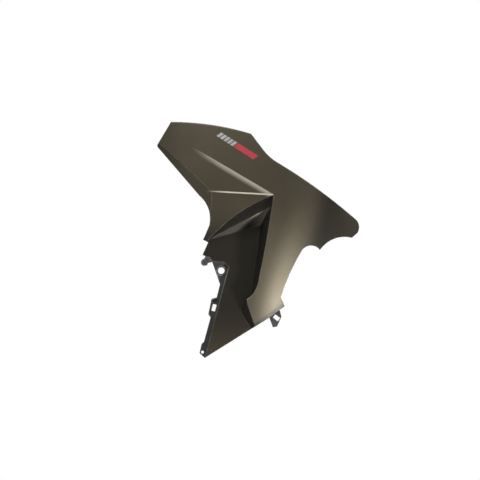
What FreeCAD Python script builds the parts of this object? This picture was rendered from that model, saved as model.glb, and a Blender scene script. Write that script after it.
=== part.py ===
import FreeCAD, Part
import math
import os

Vector = FreeCAD.Vector

# Right-hand fairing side panel. X points forwards, Z up, and the outer face looks towards -Y.
# The origin is the centre of the fixing ear's hole, on the ear's outer face.
# A plan point is (x, z); the rise of a point is how far it stands outboard of the ear.

# Wall and edges
wall = 2.6
rib_wall = 1.8
rib_height = 6.0
corner_radius = 4.0
crease_radius = 1.5

# Main curved face: a widest line that leans forwards as it climbs, bowed to the nose and to the tail
peak_rise = 49.0
widest_x = 70.0
widest_z = 110.0
widest_lean = 0.26
nose_radius = 178.0
tail_radius = 1250.0
side_radius = 833.0

# Outline of the moulding, clockwise from the tail
tail_tip = (-112.8, 217.8)
tail_top = (-87.8, 259.8)
crown_mid = (-10.0, 253.4)
brow = (52.0, 238.7)
dip_start = (72.8, 211.3)
dip_mid = (86.0, 197.2)
dip_end = (102.3, 186.0)
screen_mid = (158.0, 149.8)
nose_top = (234.8, 91.3)
nose_tip = (242.5, 77.0)
nose_low = (239.6, 66.2)
lamp_start = (229.5, 57.5)
lamp_top = (196.5, 55.2)
lamp_cusp = (172.5, 36.0)
lamp_low_top = (156.8, 44.0)
lamp_end = (140.5, 35.0)
pillar_mid = (121.0, -2.0)
pillar_knee = (104.3, -46.0)
pillar_foot = (110.8, -62.2)
hem_bend = (81.0, -83.8)
toe = (-29.0, -152.6)
apron_top = (13.0, 6.0)
tier_fold = (3.5, 15.5)
tier_low = (-16.0, 16.5)
tier_heel = (-27.0, 25.0)
tier_tip = (-33.0, 27.5)
notch = (-23.0, 49.6)
wing_low = (-32.0, 54.0)
bay_low = (-21.2, 78.5)
bay_mid = (-20.5, 101.0)
bay_high = (-37.6, 130.3)
tip_radius = 5.0
brow_radius = 5.0

# Creases that meet at the peak
peak = (91.5, 132.5)
line_start = (-40.0, 210.0)
line_drop = 4.5
line_slope = 44.0
line_blend = 13.0
line_overrun = 0.5
wing_corner = (-17.0, 138.5)
under_radius = 420.0
under_slope = 14.0
bevel_rear = (-105.0, 222.0)
bevel_slope = 22.0
crease_least = 16.0

# Scoop between wing and pillar: its rim, its drafted side walls and the stepped faces inside it
sill_mid = (36.0, 104.2)
sill_end = (-24.5, 52.0)
post_mid = (79.5, 57.0)
post_knee = (64.0, -22.0)
post_bend = (57.0, -38.0)
post_notch = (45.0, -49.0)
post_turn = (45.5, -58.0)
post_foot = (56.0, -88.5)
draft_x = -0.42
draft_z = -0.80
toe_rise = 11.0
apron_radius = 2600.0
shelf_front = (69.5, 80.5)
shelf_front_rise = 31.0
shelf_rear_rise = 8.0
shelf_slope = 3.0
tier_rise = 7.8
tier_crease_low = (19.8, 7.5)
tier_crease_high = (46.0, 44.0)
scoop_margin = 10.0

# Set-back flange with its fixing ear, slot tab and toe ear
flange_wall = 2.6
flange_lap = 4.0
lap_start = 16.0
hole_radius = 5.6
collar_wall = 3.2
collar_height = 1.5
ear_top = (-16.0, 15.0)
ear_low = (-2.4, -24.0)
tab_top_root = (-8.2, -46.8)
tab_top = (-17.3, -48.8)
tab_low = (-22.8, -76.0)
tab_low_root = (-19.0, -82.0)
strip_low = (-30.5, -124.6)
toe_ear_top = (-34.5, -128.0)
toe_ear_out = (-38.2, -144.0)
toe_ear_low = (-35.2, -147.0)
slot_middle = (-12.8, -64.8)
slot_length = 12.0
slot_width = 6.4
slot_lean = 15.0
slot_corner = 0.8
tab_rib_height = 4.0
toe_hole = (-33.0, -142.5)
toe_hole_radius = 2.5

# Clip tab behind the pillar's foot
clip_rear = (84.6, -84.0)
clip_low_rear = (90.0, -99.0)
clip_low_front = (97.5, -98.0)
clip_front = (105.5, -80.5)
clip_top_front = (100.0, -62.0)
clip_top_rear = (80.0, -72.0)
clip_rise = 6.5
clip_slot_middle = (96.5, -82.3)
clip_slot_length = 10.5
clip_slot_width = 7.0
clip_slot_turn = -38.0

# Locating pegs that push into rubber grommets
peg_middle = (-29.3, 14.6)
peg_radius = 4.0
peg_length = 14.0
peg_chamfer = 1.0
head_wall = 2.4
head_round = 1.6
head_sink = 0.6
head_depth = 5.2
lug_half = 4.0
rear_peg_middle = (-62.0, 206.0)
nose_peg_middle = (146.0, 98.0)
back_peg_depth = 30.0
back_peg_shoulder = 1.5
gusset_reach = 8.0

# Stiffening ribs behind the crown, seen in plan: x of each, with their lower and upper ends
rib_places = (-40.0, 0.0, 40.0)
rib_low = 178.0
rib_high = 236.0

# Decal film on the crown
film = 0.25
decal_rear = (-4.0, 238.0)
decal_front = (60.0, 197.0)
decal_width = 9.5
bar_count = 5
bar_share = 0.46
bar_gap_share = 0.28
decal_lean = 4.0

# Working blocks reach past the moulding on every side, and the trim column past its depth
reach = 600.0
trim_depth = 200.0

# Grid of points that each curved face is laid through, and the step its slopes are taken over
grid_low = (-150.0, -190.0)
grid_high = (275.0, 300.0)
wing_grid_low = (-150.0, 10.0)
wing_grid_high = (135.0, 295.0)
grid_steps = 6
wing_steps = 14
slope_step = 1.0

# Closeness that counts as the same place or the same way
near = 0.01


def mask_rise(x, z):
    fore = x - widest_x - widest_lean * (z - widest_z)
    radius = nose_radius if fore > 0 else tail_radius
    return peak_rise - fore**2 / (2 * radius) - (z - widest_z) ** 2 / (2 * side_radius)


def split(point, start, end):
    """Where a plan point lies beside a line: its share of the line's length, and its distance to the left."""
    length = math.dist(start, end)
    way = ((end[0] - start[0]) / length, (end[1] - start[1]) / length)
    here = (point[0] - start[0], point[1] - start[1])
    return (here[0] * way[0] + here[1] * way[1]) / length, way[0] * here[1] - way[1] * here[0]


def between(start, end, share):
    return (start[0] + (end[0] - start[0]) * share, start[1] + (end[1] - start[1]) * share)


def field_rise(x, z):
    """The wing's face: it leaves the main face smoothly, is lowest at two thirds and is back at the peak."""
    share = split((x, z), line_start, peak)[0]
    return mask_rise(x, z) - line_drop * 27 / 4 * share * abs(share) * (1 - share)


def wing_rise(point):
    return min(mask_rise(*point), field_rise(*point))


def under_rise(x, z):
    share = (x - wing_corner[0]) / (peak[0] - wing_corner[0])
    crease = between(wing_corner, peak, share)
    fall = crease[1] - z
    return wing_rise(crease) - math.tan(math.radians(under_slope)) * fall - fall**2 / (2 * under_radius)


def bevel_rise(x, z):
    share, left = split((x, z), bevel_rear, wing_corner)
    return wing_rise(between(bevel_rear, wing_corner, share)) + math.tan(math.radians(bevel_slope)) * left


def shelf_rise(x, z):
    """The shelf twists: it looks down at the pillar and levels out to the rear."""
    share, up = split((x, z), notch, shelf_front)
    rise = shelf_rear_rise + (shelf_front_rise - shelf_rear_rise) * share
    return rise + math.tan(math.radians(shelf_slope)) * share * up


def apron_rise(x, z):
    up = math.dist((x, z), toe)
    return toe_rise - up**2 / (2 * apron_radius)


def tier_face_rise(x, z):
    """Folded up from the apron along the tier's crease, as far as the tier's tip stands."""
    share, left = split((x, z), tier_crease_low, tier_crease_high)
    tip_share, tip_left = split(tier_tip, tier_crease_low, tier_crease_high)
    tip_fold = tier_rise - apron_rise(*between(tier_crease_low, tier_crease_high, tip_share))
    return apron_rise(*between(tier_crease_low, tier_crease_high, share)) + tip_fold * left / tip_left


def place(point, rise):
    return Vector(point[0], -rise, point[1])


def sheet(rise, set_back, low=grid_low, high=grid_high, steps=grid_steps):
    """A smooth face through a grid of points of a rise formula, set back square to itself."""
    rows = []
    for i in range(steps + 1):
        row = []
        x = low[0] + (high[0] - low[0]) * i / steps
        for j in range(steps + 1):
            z = low[1] + (high[1] - low[1]) * j / steps
            slope_x = (rise(x + slope_step, z) - rise(x - slope_step, z)) / (2 * slope_step)
            slope_z = (rise(x, z + slope_step) - rise(x, z - slope_step)) / (2 * slope_step)
            inward = Vector(slope_x, 1, slope_z).normalize()
            row.append(place((x, z), rise(x, z)) + inward * set_back)
        rows.append(row)
    surface = Part.BSplineSurface()
    surface.interpolate(rows)
    return surface.toShape()


def sweep(face, way):
    solid = face.extrude(way)
    if solid.Volume < 0:
        solid.reverse()
    return solid


def trace(start, *legs):
    """A wire of straight legs (end,) and arcs (via, end), in the plan plane."""
    edges = []
    here = start
    for leg in legs:
        points = [place(p, 0) for p in (here, *leg)]
        curve = Part.Arc(*points) if len(points) == 3 else Part.LineSegment(*points)
        edges.append(curve.toShape())
        here = leg[-1]
    return Part.Wire(edges)


def column(wire, way=Vector(0, 1, 0)):
    """A column through the whole depth of the part, on a plan wire."""
    face = Part.Face(wire)
    face.translate(way * -trim_depth)
    return sweep(face, way * (2 * trim_depth))


def slab(wire, low_rise, high_rise):
    """A plate on a plan wire, from one rise to another."""
    face = Part.Face(wire)
    face.translate(Vector(0, -high_rise, 0))
    return sweep(face, Vector(0, high_rise - low_rise, 0))


def polygon(*points):
    return trace(points[0], *[(p,) for p in points[1:]], (points[0],))


def round_columns(solid, corners):
    """Round the upright edges of a column that stand at the given plan points."""
    for point, radius in corners:
        def stands_there(edge):
            ends = [v.Point for v in edge.Vertexes]
            return all(math.dist((p.x, p.z), point) < near for p in ends)
        solid = solid.makeFillet(radius, [e for e in solid.Edges if stands_there(e)])
    return solid


def is_curved(face):
    return face.Surface.TypeId == "Part::GeomBSplineSurface"


def is_swept(face):
    return face.Surface.TypeId == "Part::GeomSurfaceOfExtrusion"


def edges_between(solid, one, other):
    """Edges where a face of one kind meets a face of another kind."""
    found = []
    for face in [f for f in solid.Faces if one(f)]:
        for mate in [f for f in solid.Faces if other(f)]:
            found += [e for e in face.Edges for m in mate.Edges if e.isSame(m)]
    return found


def outline_wire():
    return trace(
        tail_tip, (tail_top,), (crown_mid, brow), (dip_start,), (dip_mid, dip_end), (screen_mid, nose_top),
        (nose_tip, nose_low), (lamp_start,), (lamp_top, lamp_cusp), (lamp_low_top, lamp_end),
        (pillar_mid, pillar_knee), (pillar_foot,), (hem_bend,), (toe,), (apron_top,), (tier_fold,),
        (tier_low,), (tier_heel,), (tier_tip,), (notch,), (wing_low,), (bay_low,), (bay_mid, bay_high),
        (tail_tip,))


def outline_column():
    solid = slab(outline_wire(), -trim_depth, trim_depth)
    return round_columns(solid, [(tail_tip, tip_radius), (brow, brow_radius), (pillar_knee, corner_radius)])


draft = Vector(draft_x, 1, draft_z)


def rim(point, rise):
    """Plan point where the drafted wall through a rim point meets the plane of the ear."""
    return (point[0] + draft_x * rise(*point), point[1] + draft_z * rise(*point))


def upper_column(set_back):
    """Everything but the scoop: its free side is the scoop's drafted rim wall."""
    sill = [rim(p, under_rise) for p in (sill_end, sill_mid)]
    apex = rim(peak, mask_rise)
    post = [rim(p, mask_rise) for p in (post_mid, post_knee, post_bend, post_notch, post_turn, post_foot)]
    lead_in = (2 * sill[0][0] - sill[1][0], 2 * sill[0][1] - sill[1][1])
    lead_out = (3 * post[5][0] - 2 * post[4][0], 3 * post[5][1] - 2 * post[4][1])
    wire = trace(
        lead_in, (sill[0],), (sill[1], apex), (post[0], post[1]), (post[2], post[3]), (post[4],), (lead_out,),
        ((lead_out[0], -reach),), ((reach, -reach),), ((reach, reach),), ((-reach, reach),),
        ((-reach, lead_in[1]),), (lead_in,))
    face = Part.Face(wire)
    if set_back:
        face = face.makeOffset2D(-set_back, 2)
    face.translate(draft * -trim_depth)
    return sweep(face, draft * (2 * trim_depth))


def mask_block(set_back):
    return sweep(sheet(mask_rise, set_back), Vector(0, reach, 0))


def wing_side():
    """Plan area of the wing: all that lies behind the peak, clear of the pillar."""
    return column(polygon(peak, (peak[0], reach), (-reach, reach), (-reach, -reach), (-reach / 2, -reach)))


def wing_sheet(rise, set_back):
    return sheet(rise, set_back, wing_grid_low, wing_grid_high, wing_steps)


def wing_relief(rise, set_back):
    """Everything outboard of one of the wing's faces."""
    return sweep(wing_sheet(rise, set_back), Vector(0, -reach, 0))


def line_relief(set_back):
    """Wedge taken out of the wing under the character line, with a soft foot."""
    above = wing_relief(field_rise, set_back)
    slope = math.radians(line_slope)
    run = math.dist(line_start, peak)
    line_x = (peak[0] - line_start[0]) / run
    line_z = (peak[1] - line_start[1]) / run
    down = Vector(line_z * math.cos(slope), math.sin(slope), -line_x * math.cos(slope))
    normal = down.cross(Vector(line_x, 0, line_z)).normalize()
    if normal.y > 0:
        normal = normal * -1
    ridge = Part.BSplineCurve()
    shares = [(1 + 2 * line_overrun) * i / grid_steps - line_overrun for i in range(grid_steps + 1)]
    marks = [between(line_start, peak, share) for share in shares]
    ridge.interpolate([place(p, mask_rise(*p)) - normal * set_back for p in marks])
    side = ridge.toShape().extrude(down * reach)
    side.translate(down * (-reach / 2))
    wedge = above.common(sweep(side, normal * reach)).Solids[0]
    foot = edges_between(wedge, is_swept, is_curved)
    return wedge if set_back > wall else wedge.makeFillet(line_blend + set_back, foot)


def folds(solid, chosen):
    """Edges between two curved faces, each listed once."""
    found = []
    for edge in edges_between(solid, is_curved, is_curved):
        if chosen(edge) and not any(edge.isSame(other) for other in found):
            found.append(edge)
    return found


def on_crease(edge):
    """Whether an edge is the wing's crease above its under face or above its bevel."""
    marks = [(v.X, v.Z) for v in edge.Vertexes]
    under = [abs(split(p, wing_corner, peak)[1]) < crease_radius for p in marks]
    bevel = [abs(split(p, bevel_rear, wing_corner)[1]) < crease_radius for p in marks]
    return (all(under) or all(bevel)) and edge.Length > crease_least


def upper_body(set_back):
    wing = wing_side()
    solid = mask_block(set_back).common(upper_column(set_back))
    reliefs = [line_relief(set_back)]
    reliefs += [wing_relief(rise, set_back) for rise in (under_rise, bevel_rise)]
    for relief in reliefs:
        solid = solid.cut(relief.common(wing))
    solid = solid.Solids[0]
    return solid if set_back else solid.makeFillet(crease_radius, folds(solid, on_crease))


def apron_block(set_back):
    """Floor of the scoop, running down into the apron."""
    floor = sweep(sheet(apron_rise, set_back), Vector(0, reach, 0))
    under = scoop_margin
    area = polygon(
        (peak[0] + under, peak[1] + under), (post_knee[0] + under, post_knee[1]),
        (post_foot[0] + under, post_foot[1] - 2 * under), (post_foot[0], -reach), (-reach, -reach),
        (-reach, sill_end[1] + under), (sill_end[0], sill_end[1] + under))
    return floor.common(column(area))


def shelf_block(set_back):
    """Second step under the wing's sill, high at the pillar and running out to the rear."""
    along_x = (shelf_front[0] - notch[0]) / math.dist(shelf_front, notch)
    along_z = (shelf_front[1] - notch[1]) / math.dist(shelf_front, notch)
    low = (notch[0] - along_z * set_back, notch[1] + along_x * set_back)
    behind = (low[0] - reach * along_x, low[1] - reach * along_z)
    ahead = (low[0] + reach * along_x, low[1] + reach * along_z)
    upper = column(polygon(behind, ahead, (ahead[0], reach), (behind[0], reach)), draft)
    area = column(polygon(
        (-reach, -reach), (shelf_front[0] + scoop_margin, -reach), (peak[0] + scoop_margin, peak[1]),
        (peak[0], peak[1] + scoop_margin), (sill_end[0], sill_end[1] + scoop_margin), (-reach, sill_end[1])))
    return area.common(upper).common(sweep(sheet(shelf_rise, set_back), Vector(0, reach, 0)))


def tier_block(set_back):
    """Rear part of the scoop's floor, folded up towards the tail."""
    ahead = between(tier_crease_low, tier_crease_high, 2)
    under = tier_crease_low[1] - scoop_margin
    area = column(polygon(
        (tier_crease_low[0] + scoop_margin, under), (ahead[0] + scoop_margin, ahead[1]),
        (-reach, sill_end[1] + scoop_margin), (-reach, under)))
    return area.common(sweep(sheet(tier_face_rise, set_back), Vector(0, reach, 0)))


def body(set_back):
    """The solid behind the panel's outer face, or behind a face set back from it."""
    solid = upper_body(set_back)
    return solid.fuse([apron_block(set_back), shelf_block(set_back), tier_block(set_back)])


def strip(points, width):
    """A plan strip along a chain of points, on its left-hand side."""
    shifted = []
    for here, ahead in zip(points, points[1:]):
        run = math.dist(here, ahead)
        side = (-(ahead[1] - here[1]) / run * width, (ahead[0] - here[0]) / run * width)
        shifted += [(here[0] + side[0], here[1] + side[1]), (ahead[0] + side[0], ahead[1] + side[1])]
    return polygon(*points, *reversed(shifted))


def slot_column(middle, length, width, turn):
    """Through slot with rounded corners; turn is counted from upright, forwards at the top."""
    half_l = length / 2
    half_w = width / 2
    solid = Part.makeBox(width, 2 * trim_depth, length, Vector(-half_w, -trim_depth, -half_l))
    solid = solid.makeFillet(slot_corner, [e for e in solid.Edges if abs(e.Length - 2 * trim_depth) < near])
    solid.rotate(Vector(0, 0, 0), Vector(0, 1, 0), turn)
    solid.translate(place(middle, 0))
    return solid


def post(middle, radius, low_rise, high_rise):
    return Part.makeCylinder(radius, high_rise - low_rise, place(middle, high_rise), Vector(0, 1, 0))


def flange(trim):
    """Set-back strip beside the apron, with the ear, the slot tab and the toe ear in one plate."""
    run = math.dist(toe, apron_top)
    up = ((apron_top[0] - toe[0]) / run, (apron_top[1] - toe[1]) / run)
    inset = (up[1] * flange_lap, -up[0] * flange_lap)
    lap_low = (toe[0] + up[0] * lap_start + inset[0], toe[1] + up[1] * lap_start + inset[1])
    lap_top = (apron_top[0] + inset[0], apron_top[1] + inset[1])
    behind_top = (tier_fold[0] + flange_lap, tier_fold[1] + flange_lap)
    behind_rear = (ear_top[0], tier_low[1] + flange_lap)
    plate = slab(polygon(
        toe, lap_low, lap_top, behind_top, behind_rear, ear_top, ear_low, tab_top_root, tab_top, tab_low,
        tab_low_root, strip_low, toe_ear_top, toe_ear_out, toe_ear_low), -flange_wall, 0)
    collar = post((0, 0), hole_radius + collar_wall, 0, collar_height)
    skin = apron_block(wall / 2).fuse(tier_block(wall / 2))
    walls = []
    for chain in ((apron_top, toe), (tier_low, tier_fold, apron_top)):
        walls.append(slab(strip(chain, wall), -flange_wall, peak_rise).common(skin).common(trim))
    ribs = []
    for end, root, width in ((tab_top, tab_top_root, -rib_wall), (tab_low, tab_low_root, rib_wall)):
        ribs.append(slab(strip((end, root), width), 0, tab_rib_height))
    return plate.fuse([collar, *walls, *ribs])


def clip_tab():
    """Tab for a push clip, hung from a wall behind the pillar's lower edge."""
    plate = slab(polygon(clip_rear, clip_low_rear, clip_low_front, clip_front, clip_top_front, clip_top_rear),
                 clip_rise - wall, clip_rise)
    riser = slab(strip((clip_top_rear, clip_top_front), wall), clip_rise - wall, peak_rise)
    return plate.fuse(riser.common(mask_block(wall / 2)))


def spigot(middle, low_rise, high_rise):
    """Grommet peg with a chamfered end that points inboard."""
    solid = post(middle, peg_radius, low_rise, high_rise)
    tip = [e for e in solid.Edges if abs(e.BoundBox.YMin + low_rise) < near]
    return solid.makeChamfer(peg_chamfer, tip)


def locating_peg():
    """Peg on a lug at the foot of the scoop's rear tier."""
    high = tier_rise - head_sink
    low = high - head_depth
    head = post(peg_middle, peg_radius + head_wall, low, high)
    head = head.makeFillet(head_round, [e for e in head.Edges if e.BoundBox.YLength < near])
    lug = slab(polygon(
        (peg_middle[0] - lug_half, peg_middle[1]), (peg_middle[0] + lug_half, peg_middle[1] - lug_half / 2),
        ear_top, (tier_low[0], tier_low[1] + wall), (tier_heel[0] + lug_half, tier_heel[1] + lug_half),
        (tier_heel[0], tier_heel[1] + wall)), low, high)
    return head.fuse([lug, spigot(peg_middle, low - peg_length, low + wall)])


def back_peg(middle):
    """Gusseted peg behind the main face."""
    rise = mask_rise(*middle)
    low = rise - back_peg_depth
    root = low + peg_length
    stem = spigot(middle, low, root)
    boss = post(middle, peg_radius + back_peg_shoulder, root, rise)
    webs = []
    for turn in (0, 90):
        web = Part.makeBox(2 * gusset_reach, rise - root, rib_wall, Vector(-gusset_reach, 0, -rib_wall / 2))
        web.rotate(Vector(0, 0, 0), Vector(0, 1, 0), turn)
        web.translate(place(middle, rise))
        webs.append(web)
    return stem.fuse([boss, *webs]).common(mask_block(wall / 2))


def lips_and_ribs(trim):
    """Returned edge all round the free outline and ribs behind the crown, following the skin."""
    layer = body(wall / 2).cut(body(wall + rib_height))
    ring = trim.cut(slab(Part.Face(outline_wire()).makeOffset2D(-wall, 2).OuterWire, -trim_depth, trim_depth))
    for x in rib_places:
        half = rib_wall / 2
        ring = ring.fuse(slab(polygon(
            (x - half, rib_low), (x + half, rib_low), (x + half, rib_high), (x - half, rib_high)),
            -trim_depth, trim_depth))
    return layer.common(ring)


def fairing_panel():
    trim = outline_column()
    skin = body(0).cut(body(wall)).common(trim)
    solid = skin.fuse([
        lips_and_ribs(trim), flange(trim), clip_tab(), locating_peg(), back_peg(rear_peg_middle),
        back_peg(nose_peg_middle)])
    holes = [
        post((0, 0), hole_radius, -trim_depth, trim_depth),
        post(toe_hole, toe_hole_radius, -trim_depth, trim_depth),
        slot_column(slot_middle, slot_length, slot_width, slot_lean),
        slot_column(clip_slot_middle, clip_slot_length, clip_slot_width, 90 - clip_slot_turn)]
    return solid.cut(Part.Compound(holes)).removeSplitter()


def decal(shapes):
    """Vinyl film cut to plan shapes and laid on the crown."""
    layer = mask_block(-film).cut(mask_block(0))
    return Part.Compound([layer.common(slab(s, 0, trim_depth)) for s in shapes])


def slanted(start_share, end_share):
    """A leaning field of the decal, from one share of its length to another."""
    run = math.dist(decal_rear, decal_front)
    along = ((decal_front[0] - decal_rear[0]) / run, (decal_front[1] - decal_rear[1]) / run)
    across = (-along[1], along[0])
    corners = []
    for share, side in ((start_share, -1), (end_share, -1), (end_share, 1), (start_share, 1)):
        length = share * run + side * decal_lean / 2
        corners.append((decal_rear[0] + along[0] * length + across[0] * side * decal_width / 2,
                        decal_rear[1] + along[1] * length + across[1] * side * decal_width / 2))
    return polygon(*corners)


def decal_bars():
    pitch = bar_share / bar_count
    return decal([slanted(i * pitch, (i + 1 - bar_gap_share) * pitch) for i in range(bar_count)])


def decal_block():
    return decal([slanted(bar_share, 1.0)])


nodes = {"fairing_panel": fairing_panel, "decal_bars": decal_bars, "decal_block": decal_block}
os.makedirs("parts", exist_ok=True)
for name, build in nodes.items():
    shape = build()
    shape.exportStep(f"parts/{name}.step")
    print(name, shape.isValid(), len(shape.Solids), round(shape.Volume), shape.BoundBox)
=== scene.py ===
import math
import bpy
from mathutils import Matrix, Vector
from mathutils.bvhtree import BVHTree

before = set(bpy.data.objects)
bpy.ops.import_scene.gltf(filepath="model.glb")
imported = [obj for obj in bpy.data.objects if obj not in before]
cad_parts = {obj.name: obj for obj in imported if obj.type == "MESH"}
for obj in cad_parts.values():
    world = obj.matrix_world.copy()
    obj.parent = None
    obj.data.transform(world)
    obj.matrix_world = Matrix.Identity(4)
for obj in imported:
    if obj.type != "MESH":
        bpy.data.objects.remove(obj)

scene = bpy.context.scene
scene.view_settings.view_transform = "Standard"
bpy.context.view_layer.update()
print("frame loaded:", ", ".join(sorted(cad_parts)))


# node graph helpers

floatKind = "NodeSocketFloat"
vectorKind = "NodeSocketVector"


def newGroup(name, inputs, outputs):
    group = bpy.data.node_groups.new(name, "ShaderNodeTree")
    for label, value in inputs.items():
        socket = group.interface.new_socket(label, in_out="INPUT", socket_type=floatKind)
        socket.default_value = value
    for label, kind in outputs.items():
        group.interface.new_socket(label, in_out="OUTPUT", socket_type=kind)
    start = group.nodes.new("NodeGroupInput")
    end = group.nodes.new("NodeGroupOutput")
    return group, start, end


def addNode(tree, kind, settings=None, values=None):
    node = tree.nodes.new(kind)
    for key, value in (settings or {}).items():
        setattr(node, key, value)
    for key, value in (values or {}).items():
        node.inputs[key].default_value = value
    return node


def useGroup(tree, group, values):
    return addNode(tree, "ShaderNodeGroup", {"node_tree": group}, values)


def wire(tree, source, target):
    tree.links.new(source, target)


def feed(tree, value, socket):
    # a number or a colour is set on the socket, anything else is linked to it
    if isinstance(value, (int, float)):
        socket.default_value = value
    elif isinstance(value, tuple):
        socket.default_value = (*value, 1.0)
    else:
        wire(tree, value, socket)


def mathNode(tree, operation, a, b=None, clamp=False):
    node = addNode(tree, "ShaderNodeMath", {"operation": operation, "use_clamp": clamp})
    feed(tree, a, node.inputs[0])
    if b is not None:
        feed(tree, b, node.inputs[1])
    return node.outputs[0]


def product(tree, first, *others):
    for other in others:
        first = mathNode(tree, "MULTIPLY", first, other)
    return first


def mixColour(tree, factor, a, b):
    node = addNode(tree, "ShaderNodeMix", {"data_type": "RGBA"})
    feed(tree, factor, node.inputs[0])
    feed(tree, a, node.inputs[6])
    feed(tree, b, node.inputs[7])
    return node.outputs[2]


def spread(tree, value, low, high, toLow=0.0, toHigh=1.0):
    node = addNode(tree, "ShaderNodeMapRange", {"interpolation_type": "SMOOTHSTEP"})
    for socket, number in zip(node.inputs, (value, low, high, toLow, toHigh)):
        feed(tree, number, socket)
    return node.outputs[0]


def splitAxes(tree, vector):
    axes = addNode(tree, "ShaderNodeSeparateXYZ")
    wire(tree, vector, axes.inputs[0])
    return axes.outputs


def objectPlace(tree):
    return addNode(tree, "ShaderNodeTexCoord").outputs["Object"]


def trueNormal(tree):
    return addNode(tree, "ShaderNodeNewGeometry").outputs["Normal"]


def noiseFactor(tree, place, scale, values):
    noise = addNode(tree, "ShaderNodeTexNoise", values=values)
    wire(tree, place, noise.inputs["Vector"])
    wire(tree, scale, noise.inputs["Scale"])
    return noise.outputs["Fac"]


def bevelNormals(tree, radius, samples=6):
    # the rounded and the true normal, and how nearly they agree
    bevel = addNode(tree, "ShaderNodeBevel", {"samples": samples})
    wire(tree, radius, bevel.inputs["Radius"])
    plain = trueNormal(tree)
    dot = addNode(tree, "ShaderNodeVectorMath", {"operation": "DOT_PRODUCT"})
    wire(tree, bevel.outputs[0], dot.inputs[0])
    wire(tree, plain, dot.inputs[1])
    return bevel.outputs[0], plain, dot.outputs["Value"]


# effects that several finishes use

edgeSettings = {
    "faintTurn": (0.0008, 0.004),
    "faintStrength": 0.9,
    "fullTurn": (0.004, 0.09),
    "edgeShadeTurn": (0.12, 0.22),
    "patches": (0.30, 0.62),
    "patchLow": 0.35,
    "cornerReach": 0.012,
    "cornerOpen": (0.72, 0.94),
}


def makeEdgeGroup(settings):
    # how far the surface turns within a small radius, broken up so that it isn't a drawn line
    group, start, end = newGroup(
        "edgeWearAndShade", {"Radius": 0.0012, "Patch Scale": 60.0}, {"Mask": floatKind, "Painted Edge Shade": floatKind})
    agreement = bevelNormals(group, start.outputs["Radius"])[2]
    turn = mathNode(group, "SUBTRACT", 1.0, agreement)
    faint = spread(group, turn, *settings["faintTurn"], 0.0, settings["faintStrength"])
    turned = mathNode(group, "MAXIMUM", faint, spread(group, turn, *settings["fullTurn"]))
    # painted shade: the sharpest turns give a mask that darkens trimmed edges, where the surface rolls away
    # from the light
    wire(group, spread(group, turn, *settings["edgeShadeTurn"]), end.inputs["Painted Edge Shade"])
    noise = noiseFactor(
        group, objectPlace(group), start.outputs["Patch Scale"], {"Detail": 5.0, "Roughness": 0.6})
    patch = spread(group, noise, *settings["patches"], settings["patchLow"], 1.0)
    # inner corners keep their finish
    shade = addNode(
        group, "ShaderNodeAmbientOcclusion", {"samples": 6}, {"Distance": settings["cornerReach"]})
    proud = spread(group, shade.outputs["AO"], *settings["cornerOpen"])
    wire(group, product(group, turned, proud, patch), end.inputs["Mask"])
    return group


grainSettings = {"noiseScale": 0.37, "noiseHeight": 0.6, "cellTone": 0.6, "noiseTone": 0.4}


def makeGrainGroup(settings):
    # moulded or sprayed grain: a height for bump and a value for tone, at a stated size
    group, start, end = newGroup(
        "surfaceGrain", {"Scale": 900.0, "Softness": 0.5}, {"Height": floatKind, "Tone": floatKind})
    place = objectPlace(group)
    cells = addNode(group, "ShaderNodeTexVoronoi", {"feature": "SMOOTH_F1"})
    wire(group, place, cells.inputs["Vector"])
    wire(group, start.outputs["Scale"], cells.inputs["Scale"])
    wire(group, start.outputs["Softness"], cells.inputs["Smoothness"])
    noiseScale = mathNode(group, "MULTIPLY", start.outputs["Scale"], settings["noiseScale"])
    noise = noiseFactor(group, place, noiseScale, {"Detail": 3.0})
    fine = mathNode(group, "MULTIPLY", noise, settings["noiseHeight"])
    wire(group, mathNode(group, "ADD", cells.outputs["Distance"], fine), end.inputs["Height"])
    split = addNode(group, "ShaderNodeSeparateColor")
    wire(group, cells.outputs["Color"], split.inputs[0])
    tone = mathNode(group, "ADD", mathNode(group, "MULTIPLY", split.outputs[0], settings["cellTone"]),
                    mathNode(group, "MULTIPLY", noise, settings["noiseTone"]))
    wire(group, tone, end.inputs["Tone"])
    return group


driftRange = (0.3, 0.7)


def makeDriftGroup():
    # slow drifts of tone over hand-sized areas, and how far a place lies in a hollow
    group, start, end = newGroup(
        "toneDrift", {"Scale": 14.0, "Hollow Size": 0.03}, {"Drift": floatKind, "Hollow": floatKind})
    noise = noiseFactor(
        group, objectPlace(group), start.outputs["Scale"], {"Detail": 4.0, "Roughness": 0.55})
    wire(group, spread(group, noise, *driftRange), end.inputs["Drift"])
    shade = addNode(group, "ShaderNodeAmbientOcclusion", {"samples": 8})
    wire(group, start.outputs["Hollow Size"], shade.inputs["Distance"])
    wire(group, mathNode(group, "SUBTRACT", 1.0, shade.outputs["AO"]), end.inputs["Hollow"])
    return group


softSettings = {"shallow": (0.92, 0.97), "outward": (-0.6, -0.4)}


def makeSoftGroup(settings):
    # rounds the look of shallow creases, and leaves the sharp trimmed edges as they are
    group, start, end = newGroup("softCrease", {"Radius": 0.003}, {"Normal": vectorKind})
    rounded, plain, agreement = bevelNormals(group, start.outputs["Radius"])
    shallow = spread(group, agreement, *settings["shallow"])
    outward = spread(group, splitAxes(group, plain)["Y"], *settings["outward"], 1.0, 0.0)
    mix = addNode(group, "ShaderNodeMix", {"data_type": "VECTOR"})
    wire(group, product(group, shallow, outward), mix.inputs[0])
    wire(group, plain, mix.inputs[4])
    wire(group, rounded, mix.inputs[5])
    unit = addNode(group, "ShaderNodeVectorMath", {"operation": "NORMALIZE"})
    wire(group, mix.outputs[1], unit.inputs[0])
    wire(group, unit.outputs[0], end.inputs["Normal"])
    return group


scoopSettings = {
    "depth": (-0.040, -0.006),
    "toe": (-0.150, -0.060),
    "toeShare": 0.35,
    "facing": (-0.85, -0.55),
}


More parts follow.
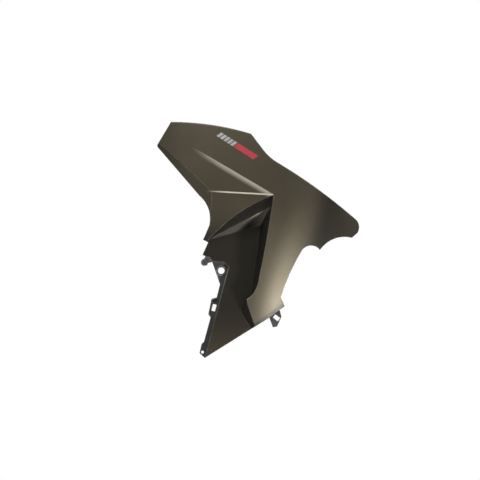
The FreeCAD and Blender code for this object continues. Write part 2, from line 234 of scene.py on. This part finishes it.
def makeScoopShadeGroup(settings):
    # painted shade: darker towards the deep floor of the scoop, less so at the toe, on faces turned outward
    group, start, end = newGroup("scoopShade", {"Strength": 0.85}, {"Mask": floatKind})
    axes = splitAxes(group, objectPlace(group))
    deep = spread(group, axes["Y"], *settings["depth"])
    toe = spread(group, axes["Z"], *settings["toe"], settings["toeShare"], 1.0)
    facing = spread(group, splitAxes(group, trueNormal(group))["Y"], *settings["facing"], 1.0, 0.0)
    wire(group, product(group, deep, start.outputs["Strength"], toe, facing), end.inputs["Mask"])
    return group


def makeLineGroup():
    # height above a straight line drawn on the panel's side view
    group, start, end = newGroup("lineHeight", {"Slope": 0.0, "Level": 0.0}, {"Above": floatKind})
    axes = splitAxes(group, objectPlace(group))
    rise = mathNode(group, "MULTIPLY", axes["X"], start.outputs["Slope"])
    above = mathNode(group, "SUBTRACT", axes["Z"], rise)
    wire(group, mathNode(group, "SUBTRACT", above, start.outputs["Level"]), end.inputs["Above"])
    return group


edgeGroup = makeEdgeGroup(edgeSettings)
grainGroup = makeGrainGroup(grainSettings)
driftGroup = makeDriftGroup()
softGroup = makeSoftGroup(softSettings)
scoopShadeGroup = makeScoopShadeGroup(scoopSettings)
lineGroup = makeLineGroup()
print("effect groups made")


# steps that the finishes share

def newMaterial(name, constants):
    material = bpy.data.materials.new(name)
    material.use_nodes = True
    tree = material.node_tree
    shader = tree.nodes["Principled BSDF"]
    for key, value in constants.items():
        shader.inputs[key].default_value = value
    return material, tree, shader


def useGrain(tree, scale, softness):
    return useGroup(tree, grainGroup, {"Scale": scale, "Softness": softness}).outputs


def useDrift(tree, look):
    values = {"Scale": look["driftScale"], "Hollow Size": look["hollowSize"]}
    return useGroup(tree, driftGroup, values).outputs


def useEdge(tree, look):
    values = {"Radius": look["edgeRadius"], "Patch Scale": look["edgePatch"]}
    return useGroup(tree, edgeGroup, values).outputs


def groundColour(tree, look, grainTone, drift):
    tone = mathNode(tree, "ADD", mathNode(tree, "MULTIPLY", grainTone, look["grainTone"]),
                    mathNode(tree, "MULTIPLY", drift, look["driftTone"]), clamp=True)
    return mixColour(tree, tone, look["deep"], look["light"])


def lightenEdges(tree, look, colour, edge):
    rub = mathNode(tree, "MULTIPLY", edge["Mask"], look["edgeStrength"])
    return mixColour(tree, rub, colour, look["paleEdge"])


def varyRoughness(tree, shader, look, change):
    rough = mathNode(tree, "MULTIPLY", change, look["roughnessChange"])
    wire(tree, mathNode(tree, "ADD", rough, look["roughness"]), shader.inputs["Roughness"])


def addBump(tree, shader, look, height):
    values = {"Strength": look["bumpStrength"], "Distance": look["bumpDepth"]}
    bump = addNode(tree, "ShaderNodeBump", values=values)
    if look["softRadius"]:
        soft = useGroup(tree, softGroup, {"Radius": look["softRadius"]})
        wire(tree, soft.outputs["Normal"], bump.inputs["Normal"])
    wire(tree, height, bump.inputs["Height"])
    wire(tree, bump.outputs["Normal"], shader.inputs["Normal"])


def aboveLine(tree, line):
    (rearX, rearZ), (frontX, frontZ) = line
    slope = (frontZ - rearZ) / (frontX - rearX)
    values = {"Slope": slope, "Level": rearZ - slope * rearX}
    return useGroup(tree, lineGroup, values).outputs["Above"]


# bronze metallic paint on the outside of the moulding

paintLook = {
    "deep": (0.0459, 0.0392, 0.0274),
    "light": (0.0740, 0.0636, 0.0444),
    "paleEdge": (0.30, 0.28, 0.235),
    "shade": (0.014, 0.013, 0.011),
    "metallic": 0.60,
    "specular": 0.05,
    "roughness": 0.34,
    "roughnessChange": 0.05,
    "flakeScale": 2600.0,
    "flakeSoftness": 0.15,
    "grainTone": 0.5,
    "driftScale": 11.0,
    "driftTone": 0.25,
    "peelScale": 420.0,
    "peelSoftness": 1.0,
    "bumpStrength": 0.35,
    "bumpDepth": 0.00003,
    "softRadius": 0.0035,
    "edgeRadius": 0.0018,
    "edgePatch": 45.0,
    "edgeStrength": 0.35,
    "edgeShadeStrength": 0.65,
    "hollowSize": 0.060,
    "hollows": (0.12, 0.72),
    "hollowShadeStrength": 0.35,
    "scoopShadeStrength": 0.85,
    "lines": True,
    "shadeFade": None,  # along the panel, where painted shade starts and where it is at full strength
    "shadeFadeStrength": 0.9,
}

# painted highlight lines and a painted shade band on the bronze, each from rear to front on the side view
paintedLineLook = {
    # painted highlight along the wing's crease
    "crease": ((-0.0170, 0.1385), (0.0915, 0.1325)),
    "creaseHighlightColour": (0.52, 0.485, 0.39),
    "creaseStrength": 0.95,
    "creaseEdge": (0.0005, 0.0018),
    "creaseFadeIn": (-0.012, 0.030),
    "creaseFadeOut": (-0.003, 0.0),
    # the character line: painted highlight, bright along the crest, fading over the flank below
    "crest": ((-0.0400, 0.2100), (0.0915, 0.1325)),
    "crestHighlightColour": (0.40, 0.365, 0.29),
    "crestStrength": 0.85,
    "crestEdge": 0.0008,
    "crestWidth": 0.0120,
    "crestFadeIn": (-0.015, 0.052),
    "crestFadeOut": (-0.012, 0.002),
    # painted shade along the pillar's lower hem
    "hemShade": ((0.0591, -0.0978), (0.1102, -0.0618)),
    "hemWidth": 0.0075,
    "hemSolid": 0.7,
    "hemFadeIn": 0.006,
}


def alongLine(tree, along, line, fadeIn, fadeOut):
    # 1 along the line, fading in about its rear end and out about its front end
    rearX, frontX = line[0][0], line[1][0]
    return product(tree, spread(tree, along, rearX + fadeIn[0], rearX + fadeIn[1]),
                   spread(tree, along, frontX + fadeOut[0], frontX + fadeOut[1], 1.0, 0.0))


def paintHighlightLines(tree, along, colour, lines):
    # painted highlights along the crease and along the crest of the character line
    off = mathNode(tree, "ABSOLUTE", aboveLine(tree, lines["crease"]))
    creaseHighlight = product(
        tree, spread(tree, off, *lines["creaseEdge"], lines["creaseStrength"], 0.0),
        alongLine(tree, along, lines["crease"], lines["creaseFadeIn"], lines["creaseFadeOut"]))
    colour = mixColour(tree, creaseHighlight, colour, lines["creaseHighlightColour"])
    below = mathNode(tree, "MULTIPLY", aboveLine(tree, lines["crest"]), -1.0)
    crestHighlight = product(
        tree, spread(tree, below, -lines["crestEdge"], lines["crestEdge"]),
        spread(tree, below, lines["crestEdge"], lines["crestWidth"], lines["crestStrength"], 0.0),
        alongLine(tree, along, lines["crest"], lines["crestFadeIn"], lines["crestFadeOut"]))
    return mixColour(tree, crestHighlight, colour, lines["crestHighlightColour"])


def hemShadeMask(tree, along, lines):
    rearX = lines["hemShade"][0][0]
    width = lines["hemWidth"]
    return product(
        tree, spread(tree, aboveLine(tree, lines["hemShade"]), width * lines["hemSolid"], width, 1.0, 0.0),
        spread(tree, along, rearX - lines["hemFadeIn"], rearX))


def makePaint(name, look):
    material, tree, shader = newMaterial(
        name, {"Metallic": look["metallic"], "Specular IOR Level": look["specular"]})
    flake = useGrain(tree, look["flakeScale"], look["flakeSoftness"])
    peel = useGrain(tree, look["peelScale"], look["peelSoftness"])
    cloud = useDrift(tree, look)
    edge = useEdge(tree, look)
    scoopShadeNode = useGroup(tree, scoopShadeGroup, {"Strength": look["scoopShadeStrength"]})
    along = splitAxes(tree, objectPlace(tree))["X"]
    colour = groundColour(tree, look, flake["Tone"], cloud["Drift"])
    # painted shade: the paint is mixed towards the shade colour in hollows
    hollowShade = spread(tree, cloud["Hollow"], *look["hollows"], 0.0, look["hollowShadeStrength"])
    colour = mixColour(tree, hollowShade, colour, look["shade"])
    # painted shade, deeper in the scoop
    colour = mixColour(tree, scoopShadeNode.outputs["Mask"], colour, look["shade"])
    # pale edges: edge wear, which on the bronze also stands in as painted highlight on its creases and rims
    colour = lightenEdges(tree, look, colour, edge)
    # painted shade darkening the sharply trimmed edges
    paintedEdgeShade = mathNode(tree, "MULTIPLY", edge["Painted Edge Shade"], look["edgeShadeStrength"])
    colour = mixColour(tree, paintedEdgeShade, colour, look["shade"])
    if look["lines"]:
        # painted highlights along the crease and the character line
        colour = paintHighlightLines(tree, along, colour, paintedLineLook)
        # painted shade along the pillar's lower hem
        hemShade = hemShadeMask(tree, along, paintedLineLook)
        colour = mixColour(tree, hemShade, colour, look["shade"])
        wire(tree, mathNode(tree, "MAXIMUM", hemShade, look["metallic"]), shader.inputs["Metallic"])
    # painted shade growing along the panel towards the rear
    if look["shadeFade"]:
        whole, fullShadeX = look["shadeFade"]
        fadedShade = spread(tree, along, fullShadeX, whole, look["shadeFadeStrength"], 0.0)
        colour = mixColour(tree, fadedShade, colour, look["shade"])
    wire(tree, colour, shader.inputs["Base Color"])
    varyRoughness(tree, shader, look, cloud["Drift"])
    addBump(tree, shader, look, peel["Height"])
    return material


# painted shade: a dark satin copy of the paint on the ledge and the wall under the wing's sill, and on the
# post wall, where they lie in shade
shadedLedgeLook = dict(
    paintLook, deep=(0.009, 0.008, 0.006), light=(0.015, 0.013, 0.010), paleEdge=(0.06, 0.055, 0.046),
    metallic=0.0, roughness=0.52, specular=0.10, lines=False)

# painted highlight: a light grey copy of the paint on the small wall below the ledge, where it catches the
# light, with painted shade growing towards the rear
litWallLook = dict(
    paintLook, deep=(0.300, 0.280, 0.236), light=(0.430, 0.400, 0.336), metallic=0.0, roughness=0.55,
    specular=0.08, lines=False, shadeFade=(0.088, 0.045), hollowShadeStrength=0.0, scoopShadeStrength=0.0)


# bare moulded plastic behind the panel and on its fixing flange

plasticLook = {
    "deep": (0.030, 0.030, 0.029),
    "light": (0.062, 0.061, 0.058),
    "paleEdge": (0.34, 0.335, 0.32),
    "dust": (0.11, 0.105, 0.096),
    "specular": 0.1,
    "roughness": 0.46,
    "roughnessChange": 0.16,
    "grainScale": 1300.0,
    "grainSoftness": 0.7,
    "grainTone": 0.45,
    "driftScale": 22.0,
    "driftTone": 0.5,
    "bumpStrength": 0.5,
    "bumpDepth": 0.00006,
    "softRadius": None,
    "edgeRadius": 0.0013,
    "edgePatch": 80.0,
    "edgeStrength": 0.6,
    "hollowSize": 0.008,
    "hollows": (0.25, 0.9),
    "dustStrength": 0.4,
    # top and toe of the ridge between flange and apron, with a pale line along its outer side
    "ridge": ((0.0138, 0.0068), (-0.0247, -0.1439)),
    "ridgeLean": 0.25,
    "ridgeEdge": (0.0006, 0.0020),
    "ridgeStrength": 0.95,
    "ridgeToe": (-0.130, -0.030),
    "ridgeToeShare": 0.25,
    "ridgeTop": (0.004, 0.009),
    "ridgeFacing": (-0.2, 0.0),
}


def ridgeMask(tree, look):
    height = splitAxes(tree, objectPlace(tree))["Z"]
    outward = splitAxes(tree, trueNormal(tree))["Y"]
    aside = mathNode(tree, "MULTIPLY", aboveLine(tree, look["ridge"]), look["ridgeLean"])
    off = mathNode(tree, "ABSOLUTE", aside)
    return product(
        tree, spread(tree, off, *look["ridgeEdge"], look["ridgeStrength"], 0.0),
        spread(tree, height, *look["ridgeToe"], look["ridgeToeShare"], 1.0),
        spread(tree, height, *look["ridgeTop"], 1.0, 0.0),
        spread(tree, outward, *look["ridgeFacing"], 1.0, 0.0))


def makePlastic(look):
    material, tree, shader = newMaterial("barePlastic", {"Specular IOR Level": look["specular"]})
    grain = useGrain(tree, look["grainScale"], look["grainSoftness"])
    cloud = useDrift(tree, look)
    colour = groundColour(tree, look, grain["Tone"], cloud["Drift"])
    dust = spread(tree, cloud["Hollow"], *look["hollows"], 0.0, look["dustStrength"])
    colour = mixColour(tree, dust, colour, look["dust"])
    colour = lightenEdges(tree, look, colour, useEdge(tree, look))
    # a pale line along the ridge's outer side, fading towards the toe
    colour = mixColour(tree, ridgeMask(tree, look), colour, look["paleEdge"])
    wire(tree, colour, shader.inputs["Base Color"])
    varyRoughness(tree, shader, look, grain["Tone"])
    addBump(tree, shader, look, grain["Height"])
    return material


# vinyl film of the decal

filmLook = {
    "specular": 0.3,
    "coat": 0.1,
    "coatRoughness": 0.2,
    "roughness": 0.42,
    "roughnessChange": 0.12,
    "grainScale": 1700.0,
    "grainSoftness": 0.8,
    "grainTone": 0.4,
    "driftScale": 60.0,
    "driftTone": 0.6,
    "hollowSize": 0.004,
    "bumpStrength": 0.25,
    "bumpDepth": 0.00002,
    "softRadius": None,
    "edgeRadius": 0.0005,
    "edgePatch": 120.0,
    "edgeStrength": 0.6,
}
barLook = dict(filmLook, deep=(0.26, 0.26, 0.268), light=(0.36, 0.36, 0.364), paleEdge=(0.55, 0.55, 0.55))
blockLook = dict(filmLook, deep=(0.29, 0.015, 0.029), light=(0.40, 0.025, 0.041), paleEdge=(0.56, 0.13, 0.15))


def makeFilm(name, look):
    material, tree, shader = newMaterial(name, {
        "Specular IOR Level": look["specular"], "Coat Weight": look["coat"],
        "Coat Roughness": look["coatRoughness"]})
    grain = useGrain(tree, look["grainScale"], look["grainSoftness"])
    colour = groundColour(tree, look, grain["Tone"], useDrift(tree, look)["Drift"])
    colour = lightenEdges(tree, look, colour, useEdge(tree, look))
    wire(tree, colour, shader.inputs["Base Color"])
    varyRoughness(tree, shader, look, grain["Tone"])
    addBump(tree, shader, look, grain["Height"])
    return material


# the panel: sprayed from outside, so paint lies where the gun could see, and the fixing flange was masked

panelSettings = {
    "spray": ((0, -1, 0), (0.6, -1, 0), (-0.6, -1, 0), (0, -1, 0.6), (0, -1, -0.6)),
    "sprayGraze": -0.05,
    "lift": 0.0004,
    "patchAngle": 0.20,
    "patchShare": 0.5,
    "flangeTop": (0.0130, 0.0060),
    "flangeToe": (-0.0290, -0.1526),
    "flangeRise": 0.0045,
    "flangeCeiling": 0.0175,
    "clipTop": -0.0610,
    "clipRear": 0.0790,
    "clipRise": 0.0085,
    "pegArea": (-0.0370, -0.0160, 0.0070, 0.0245),
    # the sill's edge from rear to peak, and the ledge's lower edge from rear to front
    "sill": ((-0.0248, 0.0514), (-0.0140, 0.0597), (0.0002, 0.0738), (0.0180, 0.0908), (0.0359, 0.1041),
             (0.0627, 0.1204), (0.0915, 0.1325)),
    "ledge": ((-0.0196, 0.0560), (0.0825, 0.1053)),
    "wallArea": (-0.0196, 0.0860, 0.0480, 0.1130),
    "wallSlack": 0.001,
    "wallTiltZ": -0.35,
    "wallTiltY": -0.2,
    "postArea": (0.0280, 0.1000, -0.1050, 0.1320),
    "postTiltX": -0.35,
}


def within(centre, area):
    lowX, highX, lowZ, highZ = area
    return lowX < centre.x < highX and lowZ < centre.z < highZ


def heightAt(x, points):
    for (lowX, lowZ), (highX, highZ) in zip(points, points[1:]):
        if x <= highX or highX == points[-1][0]:
            return lowZ + (highZ - lowZ) * (x - lowX) / (highX - lowX)


def onFlange(centre, settings):
    topX, topZ = settings["flangeTop"]
    toeX, toeZ = settings["flangeToe"]
    behind = (topX - toeX) * (centre.z - toeZ) - (topZ - toeZ) * (centre.x - toeX) > 0
    return behind and centre.z < settings["flangeCeiling"] and -centre.y < settings["flangeRise"]


def onClip(centre, settings):
    low = centre.z < settings["clipTop"] and -centre.y < settings["clipRise"]
    return low and centre.x > settings["clipRear"]


def onPeg(centre, settings):
    return within(centre, settings["pegArea"])


def underSill(polygon, settings):
    centre = polygon.center
    sill, ledge = settings["sill"], settings["ledge"]
    inside = sill[0][0] < centre.x < sill[-1][0]
    return inside and heightAt(centre.x, ledge) < centre.z < heightAt(centre.x, sill)


def onPost(polygon, settings):
    return within(polygon.center, settings["postArea"]) and polygon.normal.x < settings["postTiltX"]


def onWall(polygon, settings):
    centre, normal = polygon.center, polygon.normal
    below = centre.z < heightAt(centre.x, settings["ledge"]) + settings["wallSlack"]
    tilted = normal.z < settings["wallTiltZ"] and normal.y < settings["wallTiltY"]
    return within(centre, settings["wallArea"]) and below and tilted


def smoothPatches(mesh, limit):
    # faces that run into one another without a crease, so that a patch is sprayed or left bare as a whole
    places = [tuple(round(value, 6) for value in vertex.co) for vertex in mesh.vertices]
    sharing = {}
    for polygon in mesh.polygons:
        for a, b in polygon.edge_keys:
            sharing.setdefault(frozenset((places[a], places[b])), []).append(polygon.index)
    normals = [polygon.normal for polygon in mesh.polygons]
    beside = [[] for polygon in mesh.polygons]
    for pair in sharing.values():
        if len(pair) == 2 and normals[pair[0]].angle(normals[pair[1]], 0.0) < limit:
            beside[pair[0]].append(pair[1])
            beside[pair[1]].append(pair[0])
    left = set(range(len(mesh.polygons)))
    while left:
        patch, waiting = [], [min(left)]
        left.discard(waiting[0])
        while waiting:
            index = waiting.pop()
            patch.append(index)
            fresh = [other for other in beside[index] if other in left]
            left.difference_update(fresh)
            waiting.extend(fresh)
        yield patch


def seenBySpray(mesh, settings):
    tree = BVHTree.FromPolygons([v.co for v in mesh.vertices], [p.vertices for p in mesh.polygons])
    ways = [Vector(way).normalized() for way in settings["spray"]]
    seen = set()
    for polygon in mesh.polygons:
        start = polygon.center + polygon.normal * settings["lift"]
        facing = [way for way in ways if way.dot(polygon.normal) > settings["sprayGraze"]]
        if any(tree.ray_cast(start, way)[0] is None for way in facing):
            seen.add(polygon.index)
    return seen


def sortPatches(mesh, settings):
    # which faces are sprayed, and which lie in shade under the sill or on the post and take the painted
    # shade, decided for each smooth patch as a whole
    seen = seenBySpray(mesh, settings)
    sprayed, shaded = set(), set()
    for patch in smoothPatches(mesh, settings["patchAngle"]):
        faces = [mesh.polygons[index] for index in patch]
        enough = settings["patchShare"] * sum(face.area for face in faces)
        if sum(face.area for face in faces if face.index in seen) > enough:
            sprayed.update(patch)
        dark = [face for face in faces if underSill(face, settings) or onPost(face, settings)]
        if sum(face.area for face in dark) > enough:
            shaded.update(patch)
    return sprayed, shaded


def paintPanel(panel, settings):
    mesh = panel.data
    mesh.materials.clear()
    finishes = (makePaint("bronzePaint", paintLook), makePlastic(plasticLook),
                makePaint("shadedLedgePaint", shadedLedgeLook), makePaint("litWallPaint", litWallLook))
    for finish in finishes:
        mesh.materials.append(finish)
    bronzeSlot, bareSlot, shadedLedgeSlot, litWallSlot = range(len(finishes))
    sprayed, shaded = sortPatches(mesh, settings)
    bareCount = 0
    for polygon in mesh.polygons:
        masked = any(test(polygon.center, settings) for test in (onFlange, onClip, onPeg))
        if masked or polygon.index not in sprayed:
            polygon.material_index = bareSlot
            bareCount += 1
        # faces in shade under the sill and on the post take the dark copy of the paint as painted shade
        elif polygon.index in shaded:
            polygon.material_index = shadedLedgeSlot
        else:
            # the small wall below the ledge takes the light grey copy as painted highlight
            polygon.material_index = litWallSlot if onWall(polygon, settings) else bronzeSlot
    print("panel: %d of %d faces left bare" % (bareCount, len(mesh.polygons)))


paintPanel(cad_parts["fairing_panel"], panelSettings)

for nodeName, look in (("decal_bars", barLook), ("decal_block", blockLook)):
    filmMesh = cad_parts[nodeName].data
    filmMesh.materials.clear()
    filmMesh.materials.append(makeFilm(nodeName + "Film", look))
print("decal film dressed")


# studio: a small pale floor well below the hung panel, soft lamps and a white surround

studio = {
    "floorPlace": (0.05, 0.0, -1.30),
    "floorSize": 1.0,
    "floorColour": 0.82,
    "floorRoughness": 0.7,
    "floorGlow": 0.38,
    "floorRim": (0.45, 0.98),
    "surroundWay": (-0.38, -0.77, 0.51),
    "surroundTurn": (0.38, 0.97),
    "surroundHigh": 0.97,
    "lamps": (
        # name, position, aim, size, watts, spread in degrees
        ("lowRight", (1.04, -0.86, -0.88), (0.080, -0.03, -0.040), 0.36, 0.74, 18),
        ("frontTop", (-0.35, -1.25, 1.45), (0.0, -0.03, 0.12), 0.70, 20.0, 180),
        ("lowLeft", (-0.62, -0.26, -0.92), (0.04, -0.04, 0.17), 0.30, 0.5, 180),
        ("right", (1.60, -0.05, 0.20), (0.22, 0.0, 0.08), 0.40, 3.0, 180),
        ("behind", (-0.70, 1.50, 0.90), (0.04, 0.0, 0.05), 0.80, 30.0, 180),
    ),
}
white = (1.0, 1.0, 1.0, 1.0)


def seenAsBackground(tree):
    # the camera, gloss and glass all see the same white
    path = addNode(tree, "ShaderNodeLightPath")
    seen = mathNode(tree, "MAXIMUM", path.outputs["Is Camera Ray"], path.outputs["Is Glossy Ray"])
    return mathNode(tree, "MAXIMUM", seen, path.outputs["Is Transmission Ray"])


def makeFloor(settings):
    size, tone = settings["floorSize"], settings["floorColour"]
    bpy.ops.mesh.primitive_circle_add(
        vertices=96, radius=size, fill_type="TRIFAN", location=settings["floorPlace"])
    floor = bpy.context.object
    floor.name = "floor"
    material, tree, shader = newMaterial("paleFloor", {
        "Base Color": (tone, tone, tone, 1.0), "Roughness": settings["floorRoughness"],
        "Emission Color": white})
    glow = mathNode(tree, "MULTIPLY", seenAsBackground(tree), settings["floorGlow"])
    wire(tree, glow, shader.inputs["Emission Strength"])
    length = addNode(tree, "ShaderNodeVectorMath", {"operation": "LENGTH"})
    wire(tree, objectPlace(tree), length.inputs[0])
    inner, outer = (share * size for share in settings["floorRim"])
    wire(tree, spread(tree, length.outputs["Value"], inner, outer, 1.0, 0.0), shader.inputs["Alpha"])
    floor.data.materials.append(material)


def makeSurround(settings):
    world = bpy.data.worlds.new("surround")
    scene.world = world
    world.use_nodes = True
    tree = world.node_tree
    background = tree.nodes["Background"]
    background.inputs["Color"].default_value = white
    # a broad soft light in front and above, falling off to the sides and below
    place = addNode(tree, "ShaderNodeTexCoord")
    facing = addNode(tree, "ShaderNodeVectorMath", {"operation": "DOT_PRODUCT"})
    facing.inputs[1].default_value = settings["surroundWay"]
    wire(tree, place.outputs["Generated"], facing.inputs[0])
    soft = spread(tree, facing.outputs["Value"], *settings["surroundTurn"], 0.0, settings["surroundHigh"])
    strength = mathNode(tree, "MAXIMUM", seenAsBackground(tree), soft)
    wire(tree, strength, background.inputs["Strength"])


def makeLamps(settings):
    for name, place, aim, size, watts, degrees in settings["lamps"]:
        lamp = bpy.data.lights.new(name, "AREA")
        lamp.shape = "DISK"
        lamp.size = size
        lamp.energy = watts
        lamp.spread = math.radians(degrees)
        holder = bpy.data.objects.new(name, lamp)
        scene.collection.objects.link(holder)
        holder.location = place
        holder.visible_camera = False
        holder.rotation_euler = (Vector(aim) - Vector(place)).to_track_quat("-Z", "Y").to_euler()


makeFloor(studio)
makeSurround(studio)
makeLamps(studio)
print("studio lit")


# the photograph's view: square on to the outer face, from far off

cameraSettings = {
    "aim": (0.0327, 0.0, 0.0537),
    "distance": 7.0,
    "lens": 300.0,
    "sensor": 36.0,
    "reach": 100.0,
}


def makeCamera(settings):
    data = bpy.data.cameras.new("photoView")
    data.lens = settings["lens"]
    data.sensor_width = settings["sensor"]
    data.clip_end = settings["reach"]
    camera = bpy.data.objects.new("photoView", data)
    scene.collection.objects.link(camera)
    camera.location = Vector(settings["aim"]) + Vector((0, -settings["distance"], 0))
    camera.rotation_euler = (math.radians(90), 0, 0)
    scene.camera = camera


makeCamera(cameraSettings)
print("camera placed")
